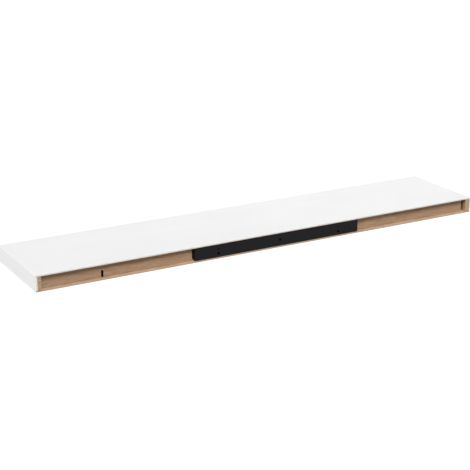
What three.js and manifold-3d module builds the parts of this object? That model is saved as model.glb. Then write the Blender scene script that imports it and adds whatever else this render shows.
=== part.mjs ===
// Floating wall shelf: a hollow white board that slides onto the two rods of a black steel wall bracket.
// Millimetres. +X runs along the shelf, -Y points into the room and +Z is up.
// The origin lies on the wall, on the bracket's rear face, half way up the shelf's thickness.

import * as THREE from "three";
import { mergeVertices } from "three/addons/utils/BufferGeometryUtils.js";
import Module from "manifold-3d";

const wasm = await Module();
wasm.setup();

// Whole board
const shelfLength = 1180;
const shelfDepth = 235;
const shelfHeight = 38;

// White outer boards
const skinThickness = 3;
const cornerRadius = 2.5;

// Fits
const glueLine = 0.1;
const cutGap = 0.3;
const toolOverrun = 2;

// Frame of raw board
const endRailWidth = 11;
const frontRailDepth = 22;
const rearRailDepth = 18;
const rearRecess = 10;
const rightRailEndGap = 6.5;
const crossRailWidth = 18;

// Pocket in the rear, with its ends, the rods and the outer holes set out from the bracket's middle
// hole, which is off the board's middle
const bracketCentre = -21;
const pocketLeftReach = 228.5;
const pocketRightReach = 227.5;
const pocketDepth = 38;
const boreRailDepth = 24;

// Slot up into the left rear rail from its lower edge, measured in from the rail's outer end
const slotInset = 145;
const slotWidth = 5;
const slotHeight = 17;

// Nail hole in the rear face of the left end rail
const nailHoleDiameter = 2;
const nailHoleDepth = 12;
const nailHoleInset = 3.6;
const nailHoleHeight = 2;

// Wall bracket: a folded steel channel with closed ends, its web flat on the wall, with room around it
// in the pocket
const channelLeftRoom = 3;
const channelRightRoom = 7;
const channelSideRoom = 0.5;
const channelThickness = 2.5;
const channelDepth = 11;
const channelInsideRadius = 1;
const wallHoleReach = 164.5;
const wallHoleDiameter = 6.5;
const wallHoleDrop = 6;
const levelHoleDiameter = 4;
const levelHoleRise = 4.5;

// Rods: steel tubes welded to the channel, with a plastic cap
const rodReach = 140;
const rodDiameter = 12;
const rodWall = 1.5;
const capHead = 1.2;
const capDome = 2.8;
const capStemLength = 9;

// Solid blocks that take the rods, with a blind bore that ends just past each cap
const boreClearance = 0.3;
const socketWidth = 50;
const socketFrontRoom = 35;
const socketEndWall = 4;
const tipClearance = 4;

// Paper honeycomb core
const cellWidth = 42;
const cellWall = 1;
const coreEdge = 2.5;
const coreSideGap = 3;
const cellHeightShare = 1.1547;
const rowStepShare = 0.75;
const hexShoulderShare = 0.5;

// Locking screws, driven up from the underside against the rods, each in a threaded insert
const screwDiameter = 6;
const screwRecess = 1.7;
const hexKeyWidth = 3;
const hexKeyDepth = 4;
const insertWall = 1.5;
const insertRoof = 1.1;
const accessClearance = 1.2;

// Facets of round work
const roundSides = 24;
const smallSides = 12;
const hexSides = 6;
const bendSteps = 4;
const domeSteps = 5;

// Worked out from the sizes above
const halfLength = shelfLength / 2;
const halfHeight = shelfHeight / 2;
const innerTop = halfHeight - skinThickness;
const railTop = innerTop - glueLine;
const innerEnd = halfLength - skinThickness;
const railEnd = innerEnd - glueLine;
const bayEnd = railEnd - endRailWidth;
const frontRailFront = -(shelfDepth - skinThickness - glueLine);
const frontRailRear = frontRailFront + frontRailDepth;
const bayFront = frontRailRear + glueLine;
const rearRailFront = -(rearRecess + rearRailDepth);
const leftRailEnd = bayEnd - glueLine;
const rightRailEnd = rightRailEndGap - bayEnd;
const skinCorner = Math.min(cornerRadius, skinThickness);
const pocketLeft = bracketCentre + pocketLeftReach;
const pocketRight = bracketCentre - pocketRightReach;
const boreRailRear = -pocketDepth;
const boreRailFront = boreRailRear - boreRailDepth;
const rodRadius = rodDiameter / 2;
const boreRadius = rodRadius + boreClearance;
const rodPlaces = { left: bracketCentre + rodReach, right: bracketCentre - rodReach };
const socketRear = boreRailFront - glueLine;
const socketFront = bayFront + socketFrontRoom;
const socketBoreEnd = socketFront + socketEndWall;
const capSeat = socketBoreEnd + tipClearance + capDome + capHead;
const rodTip = capSeat + glueLine;
const rodRear = -(channelThickness + glueLine);
const lockPlace = boreRailRear - boreRailDepth / 2;
const screwTop = -(rodRadius + cutGap);
const screwFoot = screwRecess - halfHeight;
const accessRadius = screwDiameter / 2 + accessClearance;
const insertTop = -(boreRadius + insertRoof);
const insertBore = screwDiameter / 2 + cutGap;
const insertRadius = insertBore + insertWall;
const insertSeat = insertRadius + cutGap;

// Finishes as [colour, roughness, metalness]
const finishes = {
  whiteLacquer: [0xf0f0f0, 0.45, 0],
  rawBoard: [0xb08a68, 0.85, 0],
  corePaper: [0xa98b66, 0.95, 0],
  blackPowder: [0x232426, 0.55, 0.2],
  blackPlastic: [0x1c1c1e, 0.5, 0],
  zincSteel: [0xb4b6ba, 0.35, 1],
  brass: [0xb99a55, 0.35, 1],
};

/** A named mesh with a material of its own. */
function piece(name, finish, geometry) {
  const [color, roughness, metalness] = finishes[finish];
  const material = new THREE.MeshStandardMaterial({ color, roughness, metalness });
  const mesh = new THREE.Mesh(geometry, material);
  mesh.name = name;
  return mesh;
}

/** A block between two values on each axis. */
function blockGeometry(x, y, z) {
  const [x0, x1] = [Math.min(...x), Math.max(...x)];
  const [y0, y1] = [Math.min(...y), Math.max(...y)];
  const [z0, z1] = [Math.min(...z), Math.max(...z)];
  const block = new THREE.BoxGeometry(x1 - x0, y1 - y0, z1 - z0);
  block.translate((x0 + x1) / 2, (y0 + y1) / 2, (z0 + z1) / 2);
  return block;
}

/** A round bar along Y between two values of Y. */
function barAlongY(radius, { x, z }, ends, sides = roundSides) {
  const bar = new THREE.CylinderGeometry(radius, radius, Math.abs(ends[1] - ends[0]), sides);
  bar.translate(x, (ends[0] + ends[1]) / 2, z);
  return bar;
}

/** A round or many-sided upright bar between two heights. */
function barUpright(radius, { x, y }, ends, sides = roundSides) {
  const bar = new THREE.CylinderGeometry(radius, radius, Math.abs(ends[1] - ends[0]), sides);
  bar.rotateX(Math.PI / 2);
  bar.translate(x, y, (ends[0] + ends[1]) / 2);
  return bar;
}

/** The closed solid of a geometry, with only its shared corners. */
function solidOf(geometry) {
  const bare = geometry.clone();
  bare.deleteAttribute("normal");
  bare.deleteAttribute("uv");
  const merged = mergeVertices(bare);
  const vertProperties = new Float32Array(merged.attributes.position.array);
  const triVerts = new Uint32Array(merged.index.array);
  return new wasm.Manifold(new wasm.Mesh({ numProp: 3, vertProperties, triVerts }));
}

/** A geometry with other geometries cut out of it, after more geometries are fused to it. */
function cutGeometry(body, cutters, fused = []) {
  let solid = solidOf(body);
  for (const addition of fused) solid = solid.add(solidOf(addition));
  for (const cutter of cutters) solid = solid.subtract(solidOf(cutter));
  const { vertProperties, triVerts } = solid.getMesh();
  const geometry = new THREE.BufferGeometry();
  geometry.setAttribute("position", new THREE.BufferAttribute(new Float32Array(vertProperties), 3));
  geometry.setIndex(new THREE.BufferAttribute(new Uint32Array(triVerts), 1));
  geometry.computeVertexNormals();
  return geometry;
}

/** A closed profile of [radius, height] points turned about the Z axis through a place. */
function turnedUpright(points, place) {
  const lathe = new THREE.LatheGeometry(points.map(([r, h]) => new THREE.Vector2(r, h)), roundSides);
  lathe.rotateX(Math.PI / 2);
  lathe.translate(place.x, place.y, 0);
  return lathe;
}

/** A closed profile of [radius, y] points turned about a line along Y through an x. */
function turnedAlongY(points, x) {
  const lathe = new THREE.LatheGeometry(points.map(([r, y]) => new THREE.Vector2(r, y)), roundSides);
  lathe.translate(x, 0, 0);
  return lathe;
}

/** The outline of a full skin: square at the wall, with the two front corners rounded. */
function skinOutline() {
  const [cornerX, cornerY] = [halfLength - skinCorner, skinCorner - shelfDepth];
  const outline = new THREE.Shape();
  outline.moveTo(halfLength, 0);
  outline.lineTo(-halfLength, 0);
  outline.lineTo(-halfLength, cornerY);
  outline.absarc(-cornerX, cornerY, skinCorner, Math.PI, 1.5 * Math.PI);
  outline.lineTo(cornerX, -shelfDepth);
  outline.absarc(cornerX, cornerY, skinCorner, 1.5 * Math.PI, 2 * Math.PI);
  return outline;
}

/** A flat outline in X and Y made into a board between two heights. */
function raised(outline, z0, z1) {
  const board = new THREE.ExtrudeGeometry(outline, {
    depth: z1 - z0,
    bevelEnabled: false,
    curveSegments: bendSteps,
  });
  board.translate(0, 0, z0);
  return board;
}

/** The band on the end at +X, its front corner rounded. */
function endBandGeometry() {
  const outline = new THREE.Shape();
  outline.moveTo(innerEnd, 0);
  outline.lineTo(innerEnd, -shelfDepth);
  if (skinCorner < skinThickness) outline.lineTo(halfLength - skinCorner, -shelfDepth);
  outline.absarc(halfLength - skinCorner, skinCorner - shelfDepth, skinCorner, -Math.PI / 2, 0);
  outline.lineTo(halfLength, 0);
  return raised(outline, -railTop, railTop);
}

/** The five white outer boards. */
function whiteSkins() {
  const group = new THREE.Group();
  const outline = skinOutline();
  group.add(piece("top_skin", "whiteLacquer", raised(outline, innerTop, halfHeight)));
  const through = [-halfHeight - toolOverrun, toolOverrun - innerTop];
  const drill = (x) => barUpright(accessRadius, { x, y: lockPlace }, through);
  const accessHoles = Object.values(rodPlaces).map(drill);
  const underside = cutGeometry(raised(outline, -halfHeight, -innerTop), accessHoles);
  group.add(piece("bottom_skin", "whiteLacquer", underside));
  const frontBand = blockGeometry([-railEnd, railEnd], [-shelfDepth, skinThickness - shelfDepth],
    [-railTop, railTop]);
  group.add(piece("front_edge_band", "whiteLacquer", frontBand));
  group.add(piece("left_edge_band", "whiteLacquer", endBandGeometry()));
  group.add(piece("right_edge_band", "whiteLacquer", endBandGeometry().rotateY(Math.PI)));
  return group;
}

/** The left rear rail, with the slot that runs up from its lower edge to a round end. */
function slottedRailGeometry(x, y, z) {
  const slotRadius = slotWidth / 2;
  const slotCentre = leftRailEnd - slotInset;
  const slotTop = -railTop + slotHeight - slotRadius;
  const through = [y[0] + toolOverrun, y[1] - toolOverrun];
  const straight = blockGeometry([slotCentre - slotRadius, slotCentre + slotRadius], through,
    [-railTop - toolOverrun, slotTop]);
  const round = barAlongY(slotRadius, { x: slotCentre, z: slotTop }, through);
  return cutGeometry(blockGeometry(x, y, z), [straight, round]);
}

/** The frame of raw board between the skins. */
function frame() {
  const group = new THREE.Group();
  const add = (name, geometry) => group.add(piece(name, "rawBoard", geometry));
  const height = [-railTop, railTop];

  add("front_rail", blockGeometry([-railEnd, railEnd], [frontRailFront, frontRailRear], height));

  const endRail = blockGeometry([bayEnd, railEnd], [bayFront, 0], height);
  const nailHole = barAlongY(nailHoleDiameter / 2, { x: bayEnd + nailHoleInset, z: nailHoleHeight },
    [toolOverrun, -nailHoleDepth], smallSides);
  add("left_end_rail", cutGeometry(endRail, [nailHole]));
  add("right_end_rail", blockGeometry([-bayEnd, -railEnd], [bayFront, 0], height));

  const rearRailDepths = [-rearRecess, rearRailFront];
  add("left_rear_rail", slottedRailGeometry([pocketLeft, leftRailEnd], rearRailDepths, height));
  add("right_rear_rail", blockGeometry([pocketRight, rightRailEnd], rearRailDepths, height));

  const crossDepths = [rearRailFront - glueLine, bayFront];
  add("left_cross_rail", blockGeometry([pocketLeft, pocketLeft + crossRailWidth], crossDepths, height));
  add("right_cross_rail", blockGeometry([pocketRight, pocketRight - crossRailWidth], crossDepths, height));

  add("bore_rail", boreRailGeometry(height));
  for (const side of ["left", "right"]) {
    add(`${side}_rod_socket`, rodSocketGeometry(rodPlaces[side], height));
  }
  return group;
}

/** The rail at the back of the pocket: a bore for each rod and a seat for each threaded insert. */
function boreRailGeometry(height) {
  const rail = blockGeometry([pocketRight + glueLine, pocketLeft - glueLine],
    [boreRailFront, boreRailRear], height);
  const through = [boreRailFront - toolOverrun, boreRailRear + toolOverrun];
  const drilledFrom = -railTop - toolOverrun;
  const cutters = Object.values(rodPlaces).flatMap((x) => [
    barAlongY(boreRadius, { x, z: 0 }, through),
    barUpright(insertSeat, { x, y: lockPlace }, [drilledFrom, insertTop + cutGap]),
    barUpright(insertBore, { x, y: lockPlace }, [drilledFrom, 0]),
  ]);
  return cutGeometry(rail, cutters);
}

/** A solid block with the blind bore that holds one rod. */
function rodSocketGeometry(x, height) {
  const block = blockGeometry([x - socketWidth / 2, x + socketWidth / 2], [socketFront, socketRear], height);
  const bore = barAlongY(boreRadius, { x, z: 0 }, [socketBoreEnd, socketRear + toolOverrun]);
  return cutGeometry(block, [bore]);
}

/** One six-sided cell of the core as a hole in its outline. */
function cellHole(cx, cy, halfWide, halfTall) {
  const shoulder = halfTall * hexShoulderShare;
  const hole = new THREE.Path();
  hole.moveTo(cx, cy + halfTall);
  hole.lineTo(cx - halfWide, cy + shoulder);
  hole.lineTo(cx - halfWide, cy - shoulder);
  hole.lineTo(cx, cy - halfTall);
  hole.lineTo(cx + halfWide, cy - shoulder);
  hole.lineTo(cx + halfWide, cy + shoulder);
  hole.closePath();
  return hole;
}

/** A honeycomb panel that fills a bay, with as many whole cells as fit, stretched to fill it. */
function coreGeometry([x0, x1], [y0, y1]) {
  const outline = new THREE.Shape();
  outline.moveTo(x0, y0);
  outline.lineTo(x1, y0);
  outline.lineTo(x1, y1);
  outline.lineTo(x0, y1);
  const wide = x1 - x0 - 2 * coreEdge;
  const tall = y1 - y0 - 2 * coreEdge;
  const columns = Math.max(1, Math.floor(wide / cellWidth - 1 / 2));
  const cellTall = cellWidth * cellHeightShare;
  const rows = Math.max(1, Math.floor((tall / cellTall - 1) / rowStepShare + 1));
  const stepX = wide / (columns + 1 / 2);
  const cellY = tall / ((rows - 1) * rowStepShare + 1);
  for (let row = 0; row < rows; row += 1) {
    const cy = y0 + coreEdge + cellY * (row * rowStepShare + 1 / 2);
    for (let column = 0; column < columns; column += 1) {
      const cx = x0 + coreEdge + stepX * (column + 1 / 2 + (row % 2) / 2);
      outline.holes.push(cellHole(cx, cy, (stepX - cellWall) / 2, (cellY - cellWall) / 2));
    }
  }
  return raised(outline, -railTop + glueLine, railTop - glueLine);
}

/** The paper honeycomb in the left, middle and right bays. */
function cores() {
  const group = new THREE.Group();
  const add = (name, x, y) => group.add(piece(name, "corePaper", coreGeometry(x, y)));
  const front = bayFront + coreSideGap;
  const sideRear = rearRailFront - coreSideGap;
  const crossLeft = pocketLeft + crossRailWidth;
  const crossRight = pocketRight - crossRailWidth;
  add("left_core", [crossLeft + coreSideGap, bayEnd - coreSideGap], [front, sideRear]);
  add("right_core", [coreSideGap - bayEnd, crossRight - coreSideGap], [front, sideRear]);
  const halfSocket = socketWidth / 2 + coreSideGap;
  add("centre_core", [rodPlaces.right + halfSocket, rodPlaces.left - halfSocket],
    [front, boreRailFront - coreSideGap]);
  return group;
}

/** The channel's section in Y and Z: a web on the wall and two flanges, with rounded bends. */
function channelOutline() {
  const half = innerTop - channelSideRoom;
  const inner = channelInsideRadius;
  const outer = channelInsideRadius + channelThickness;
  const bend = half - outer;
  const quarter = Math.PI / 2;
  const outline = new THREE.Shape();
  outline.moveTo(-channelDepth, -half);
  outline.lineTo(-outer, -half);
  outline.absarc(-outer, -bend, outer, -quarter, 0);
  outline.lineTo(0, bend);
  outline.absarc(-outer, bend, outer, 0, quarter);
  outline.lineTo(-channelDepth, half);
  outline.lineTo(-channelDepth, half - channelThickness);
  const insideTop = half - channelThickness - inner;
  const insideRear = -channelThickness - inner;
  outline.lineTo(insideRear, half - channelThickness);
  outline.absarc(insideRear, insideTop, inner, quarter, 0, true);
  outline.lineTo(-channelThickness, -insideTop);
  outline.absarc(insideRear, -insideTop, inner, 0, -quarter, true);
  outline.lineTo(-channelDepth, channelThickness - half);
  return outline;
}

/** The folded channel, closed by a tab at each end, with its wall screw holes and levelling holes. */
function channelGeometry() {
  const [leftEnd, rightEnd] = [pocketLeft - channelLeftRoom, pocketRight + channelRightRoom];
  const channel = new THREE.ExtrudeGeometry(channelOutline(), {
    depth: leftEnd - rightEnd,
    bevelEnabled: false,
    curveSegments: bendSteps,
  });
  const alongX = new THREE.Matrix4().makeBasis(
    new THREE.Vector3(0, 1, 0), new THREE.Vector3(0, 0, 1), new THREE.Vector3(1, 0, 0));
  channel.applyMatrix4(alongX);
  channel.translate(rightEnd, 0, 0);
  const tabHalf = innerTop - channelSideRoom - channelThickness / 2;
  const tab = (x) => blockGeometry(x, [-channelDepth, -channelThickness / 2], [-tabHalf, tabHalf]);
  const tabs = [
    tab([leftEnd - channelThickness, leftEnd]),
    tab([rightEnd, rightEnd + channelThickness]),
  ];
  const through = [-channelThickness - toolOverrun, toolOverrun];
  const hole = (diameter, x, z) => barAlongY(diameter / 2, { x, z }, through);
  const holes = [hole(wallHoleDiameter, bracketCentre, 0)];
  for (const x of [bracketCentre + wallHoleReach, bracketCentre - wallHoleReach]) {
    holes.push(hole(wallHoleDiameter, x, -wallHoleDrop));
    holes.push(hole(levelHoleDiameter, x, levelHoleRise));
  }
  return cutGeometry(channel, holes, tabs);
}

/** A rod: a plain tube from the channel's web to its tip. */
function rodGeometry(x) {
  const bore = rodRadius - rodWall;
  return turnedAlongY([
    [bore, rodTip],
    [rodRadius, rodTip],
    [rodRadius, rodRear],
    [bore, rodRear],
    [bore, rodTip],
  ], x);
}

/** A plug in the rod's tip: a stem in the tube under a domed head. */
function capGeometry(x) {
  const stem = rodRadius - rodWall - cutGap;
  const stemEnd = capSeat + capStemLength;
  const points = [];
  for (let step = 0; step <= domeSteps; step += 1) {
    const turn = (step / domeSteps) * (Math.PI / 2);
    points.push([rodRadius * Math.sin(turn), capSeat - capHead - capDome * Math.cos(turn)]);
  }
  points.push([rodRadius, capSeat], [stem, capSeat], [stem, stemEnd], [0, stemEnd]);
  return turnedAlongY(points, x);
}

/** The wall bracket: the channel, and a tube and cap for each rod. */
function wallBracket() {
  const group = new THREE.Group();
  group.add(piece("bracket_channel", "blackPowder", channelGeometry()));
  for (const [side, x] of Object.entries(rodPlaces)) {
    group.add(piece(`${side}_rod`, "blackPowder", rodGeometry(x)));
    group.add(piece(`${side}_rod_cap`, "blackPlastic", capGeometry(x)));
  }
  return group;
}

/** A threaded insert: a plain ring pressed into the bore rail's underside. */
function insertGeometry(x) {
  return turnedUpright([
    [insertBore, -railTop],
    [insertRadius, -railTop],
    [insertRadius, insertTop],
    [insertBore, insertTop],
    [insertBore, -railTop],
  ], { x, y: lockPlace });
}

/** A grub screw with a hexagon socket in its lower end. */
function screwGeometry(x) {
  const place = { x, y: lockPlace };
  const bar = barUpright(screwDiameter / 2, place, [screwFoot, screwTop]);
  const keyRadius = hexKeyWidth / 2 / Math.cos(Math.PI / hexSides);
  const socketEnds = [screwFoot - toolOverrun, screwFoot + hexKeyDepth];
  return cutGeometry(bar, [barUpright(keyRadius, place, socketEnds, hexSides)]);
}

/** The two locking screws and their inserts. */
function locks() {
  const group = new THREE.Group();
  for (const [side, x] of Object.entries(rodPlaces)) {
    group.add(piece(`${side}_threaded_insert`, "brass", insertGeometry(x)));
    group.add(piece(`${side}_locking_screw`, "zincSteel", screwGeometry(x)));
  }
  return group;
}

const shelf = new THREE.Group();
shelf.add(wallBracket(), whiteSkins(), frame(), cores(), locks());

export default shelf;
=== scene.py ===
"""Floating wall shelf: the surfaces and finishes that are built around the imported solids.

Metres in the part's frame: +X along the shelf, +Y into the wall, +Z up, origin on the wall.
Sizes are written in millimetres, times MM.
"""

import functools
import logging
import math
from dataclasses import dataclass
from enum import Enum, IntEnum
from typing import Callable, Sequence

import bmesh
import bpy
import numpy as np
from mathutils import Matrix, Vector
from mathutils.geometry import tessellate_polygon


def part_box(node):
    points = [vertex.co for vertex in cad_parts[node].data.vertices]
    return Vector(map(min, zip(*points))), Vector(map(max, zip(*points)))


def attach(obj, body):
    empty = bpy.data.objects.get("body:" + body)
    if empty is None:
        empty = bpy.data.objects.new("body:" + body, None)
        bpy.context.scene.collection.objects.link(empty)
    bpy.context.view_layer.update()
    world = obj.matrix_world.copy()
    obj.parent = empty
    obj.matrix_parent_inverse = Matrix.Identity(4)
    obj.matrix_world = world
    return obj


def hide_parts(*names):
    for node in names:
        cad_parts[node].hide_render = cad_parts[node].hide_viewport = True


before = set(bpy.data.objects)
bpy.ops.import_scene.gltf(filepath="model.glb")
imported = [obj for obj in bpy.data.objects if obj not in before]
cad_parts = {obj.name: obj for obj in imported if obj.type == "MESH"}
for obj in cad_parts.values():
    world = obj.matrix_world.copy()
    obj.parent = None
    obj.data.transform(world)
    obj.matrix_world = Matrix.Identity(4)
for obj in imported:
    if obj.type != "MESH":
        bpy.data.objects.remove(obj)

LOG = logging.getLogger("shelf")
MM = 0.001
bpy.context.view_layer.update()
LEFT, RIGHT = 1, -1
SIDES = {"left": LEFT, "right": RIGHT}
# Points closer than this are one point, and edges turned further than this stay sharp
SAME_PLACE = 1e-6
SHARP_ANGLE = math.radians(38)
# How much of its normal lies along a direction that a face faces, faces squarely or leans to
FACING, SQUARELY, LEANING = 0.6, 0.9, 0.1

Array = np.ndarray
Ring = tuple[Array, float]
Rule = Callable[[Array, Array], Array]


class Body(Enum):
    """The bodies that move against each other."""

    BRACKET = "bracket"
    BOARD = "board"
    LEFT_LOCK = "left_lock"
    RIGHT_LOCK = "right_lock"


class Slot(Enum):
    """The record's material slots, one for each kind of new piece."""

    LACQUER = "white_lacquer"
    BOARD = "raw_board"
    POWDER = "black_powder"
    PLASTIC = "black_plastic"
    ZINC = "zinc_steel"
    BRASS = "brass"


class Axis(Enum):
    """An axis of the frame, as a column number.

    A flat outline across it keeps the other two in order.
    """

    X = 0
    Y = 1
    Z = 2

    @property
    def across(self) -> list[int]:
        """The columns of the other two axes."""
        return [column for column in range(3) if column != self.value]


# Colours and nodes


def linear(colour: str) -> tuple[float, float, float, float]:
    """Turns an sRGB hex colour to the linear values that a shader takes.

    Args:
        colour: six hex digits, red, green and blue.

    Returns:
        Red, green, blue and 1. A channel c is c / 12.92 up to 0.04045, and above that
        (c + 0.055) / 1.055 to the power of 2.4.
    """
    channels = [int(colour[start : start + 2], 16) / 255 for start in (0, 2, 4)]
    red, green, blue = [
        c / 12.92 if c <= 0.04045 else ((c + 0.055) / 1.055) ** 2.4 for c in channels]
    return (red, green, blue, 1.0)


def add_node(tree: bpy.types.NodeTree, kind: str, inputs: dict, **options) -> bpy.types.Node:
    """Adds a node with its settings and links.

    Args:
        tree: the node tree that it goes into.
        kind: the node's type.
        inputs: for each input's name or number, a value or the output that feeds it.
        options: the node's own settings, such as its operation.

    Returns:
        The node.
    """
    node = tree.nodes.new(kind)
    for option, value in options.items():
        setattr(node, option, value)
    for name, value in inputs.items():
        if isinstance(value, bpy.types.NodeSocket):
            tree.links.new(value, node.inputs[name])
        else:
            node.inputs[name].default_value = value
    return node


def empty_tree(owner: bpy.types.Material | bpy.types.World) -> bpy.types.NodeTree:
    """A material's or a world's node tree, cleared.

    Args:
        owner: the material or world.

    Returns:
        Its tree, with no node in it.
    """
    owner.use_nodes = True
    owner.node_tree.nodes.clear()
    return owner.node_tree


def put_in_scene(name: str, data: bpy.types.ID) -> bpy.types.Object:
    """Adds an object to the scene.

    Args:
        name: its name.
        data: its mesh, lamp or camera.

    Returns:
        The object.
    """
    thing = bpy.data.objects.new(name, data)
    bpy.context.scene.collection.objects.link(thing)
    return thing


# Finishes


@dataclass(frozen=True)
class Grain:
    """An uneven field across a material.

    Attributes:
        size: how long its marks are on X, Y and Z, in millimetres.
        low: the noise value that counts as 0.
        high: the noise value that counts as 1.
        detail: how many finer layers lie on it.
    """

    size: tuple[float, float, float]
    low: float = 0.35
    high: float = 0.65
    detail: float = 3.0

    def values(self, tree: bpy.types.NodeTree, place: bpy.types.NodeSocket) -> bpy.types.NodeSocket:
        """Adds the field to a tree: noise of one mark to a unit, spread between low and high.

        Args:
            tree: the material's node tree.
            place: the object coordinates.

        Returns:
            The output that holds the field, from 0 to 1.
        """
        marks = tuple(1 / (size * MM) for size in self.size)
        scaled = add_node(tree, "ShaderNodeMapping", {"Vector": place, "Scale": marks})
        noise = add_node(tree, "ShaderNodeTexNoise",
                         {"Vector": scaled.outputs[0], "Scale": 1.0, "Detail": self.detail})
        spread = add_node(tree, "ShaderNodeMapRange",
                          {"Value": noise.outputs[0], "From Min": self.low, "From Max": self.high})
        return spread.outputs[0]


Marks = tuple[tuple[str, Grain, float], ...]


@dataclass(frozen=True)
class Finish:
    """A finish: two tones that drift into each other, marks over them, and a fine relief.

    Attributes:
        title: the material's name.
        tones: the two tones, as sRGB hex colours.
        drift: how the tones lie.
        marks: each mark's colour, field and strength.
        relief: the field of the surface's height.
        relief_height: how high the relief stands, in millimetres.
        roughness: the roughness at the relief's bottom and top.
        metallic: 1 for bare metal.
        ior: the index of refraction.
        specular: the strength of the clear reflection, where 0.5 is a smooth surface of that index.
    """

    title: str = ""
    tones: tuple[str, str] = ("808080", "808080")
    drift: Grain = Grain((100, 100, 100))
    marks: Marks = ()
    relief: Grain = Grain((1, 1, 1))
    relief_height: float = 0.01
    roughness: tuple[float, float] = (0.5, 0.5)
    metallic: float = 0.0
    ior: float = 1.5
    specular: float = 0.5

    def material(self) -> bpy.types.Material:
        """Makes the material.

        Returns:
            A material whose colour, roughness and bump come from the fields.
        """
        material = bpy.data.materials.new(self.title)
        tree = empty_tree(material)
        place = add_node(tree, "ShaderNodeTexCoord", {}).outputs["Object"]
        # The colour mix takes its share at input 0 and its colours at 6 and 7, and gives output 2
        mix = add_node(tree, "ShaderNodeMix", {
            0: self.drift.values(tree, place), 6: linear(self.tones[0]), 7: linear(self.tones[1])},
            data_type="RGBA")
        for tone, grain, strength in self.marks:
            share = add_node(tree, "ShaderNodeMath", {0: grain.values(tree, place), 1: strength},
                             operation="MULTIPLY", use_clamp=True)
            mix = add_node(tree, "ShaderNodeMix", {
                0: share.outputs[0], 6: mix.outputs[2], 7: linear(tone)}, data_type="RGBA")
        height = self.relief.values(tree, place)
        rough = add_node(tree, "ShaderNodeMapRange", {
            "Value": height, "To Min": self.roughness[0], "To Max": self.roughness[1]})
        bump = add_node(tree, "ShaderNodeBump", {
            "Height": height, "Strength": 1.0, "Distance": self.relief_height * MM})
        shader = add_node(tree, "ShaderNodeBsdfPrincipled", {
            "Base Color": mix.outputs[2], "Roughness": rough.outputs[0], "Normal": bump.outputs[0],
            "Metallic": self.metallic, "IOR": self.ior, "Specular IOR Level": self.specular})
        add_node(tree, "ShaderNodeOutputMaterial", {"Surface": shader.outputs[0]})
        return material


@dataclass(frozen=True)
class SatinLacquer(Finish):
    """White lacquer rolled and cured on thin fibreboard.

    To the eye it is an even neutral white with a broad soft sheen. The real ripple is about 1.5 mm
    from crest to crest and is drawn at 3 mm, so that it holds at the render's scale.
    """

    title: str = "satin_lacquer_rolled"
    tones: tuple[str, str] = ("F1F1F1", "EEEEEE")
    drift: Grain = Grain((240, 90, 90), detail=2.0)
    relief: Grain = Grain((3, 3, 3), detail=1.0)
    relief_height: float = 0.012
    roughness: tuple[float, float] = (0.36, 0.42)
    ior: float = 1.49


@dataclass(frozen=True)
class PrimedEdge(Finish):
    """The sawn edge of a lacquered fibreboard, rolled with the faces' coat.

    To the eye it is a matt cream, a little darker where the fibres drank the coat.
    """

    title: str = "primed_fibreboard_edge_sawn"
    tones: tuple[str, str] = ("FFF8EF", "FAF1E7")
    drift: Grain = Grain((14, 5, 3))
    marks: Marks = (("D8C6B2", Grain((2.5, 1.2, 0.8), 0.55, 0.72), 0.3),)
    relief: Grain = Grain((1.2, 1.2, 0.8))
    relief_height: float = 0.03
    roughness: tuple[float, float] = (0.7, 0.8)
    specular: float = 0.3


@dataclass(frozen=True)
class DustedEdge(PrimedEdge):
    """The same edge where the coat only dusted it from the face above.

    To the eye it is a pale greyish beige, with the fibres still to be seen.
    """

    title: str = "fibreboard_edge_dusted_with_lacquer"
    tones: tuple[str, str] = ("F0E7DF", "E7DCD1")
    marks: Marks = (("BFA88F", Grain((3, 1.2, 0.8), 0.55, 0.72), 0.5),)


@dataclass(frozen=True)
class Fibreboard(Finish):
    """Thin fibreboard as it left the hot press, unsanded.

    To the eye it is a warm tan with soft clouds and short darker fibres that lie every way.
    """

    title: str = "fibreboard_hot_pressed"
    tones: tuple[str, str] = ("CFB295", "C1A182")
    drift: Grain = Grain((26, 26, 26))
    marks: Marks = (
        ("8F6F52", Grain((2.2, 0.9, 0.9), 0.58, 0.74), 0.55),
        ("DDC6AC", Grain((0.9, 2.4, 0.9), 0.60, 0.76), 0.45),
    )
    relief: Grain = Grain((1.6, 1.6, 1.6))
    relief_height: float = 0.04
    roughness: tuple[float, float] = (0.78, 0.9)
    specular: float = 0.25


@dataclass(frozen=True)
class FibreboardEdge(Fibreboard):
    """The same board's sawn edge, bare.

    To the eye it is greyer than the face, with thin level lines where the layers of fibre end.
    """

    title: str = "fibreboard_edge_sawn"
    tones: tuple[str, str] = ("C5B09B", "BAA38E")
    drift: Grain = Grain((30, 6, 0.9))


@dataclass(frozen=True)
class SawnBatten(Finish):
    """Battens of pressed wood strands, sawn to width and left bare, with the strands along X.

    To the eye it is a matt warm tan with level streaks, 15 to 50 mm long and about 1 mm high,
    darker where a strand ends and paler where one lies open.
    """

    title: str = "pressed_strand_batten_sawn"
    tones: tuple[str, str] = ("BB9D80", "AF8D71")
    drift: Grain = Grain((42, 30, 3.4), 0.36, 0.64)
    marks: Marks = (
        ("7B5B40", Grain((18, 9, 1.3), 0.56, 0.72), 0.6),
        ("C4AD95", Grain((24, 10, 1.6), 0.57, 0.74), 0.5),
        ("6B4E36", Grain((3.2, 3.2, 1.8), 0.62, 0.76), 0.5),
    )
    relief: Grain = Grain((9, 5, 0.8), detail=4.0)
    relief_height: float = 0.09
    roughness: tuple[float, float] = (0.82, 0.95)
    specular: float = 0.2


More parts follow.
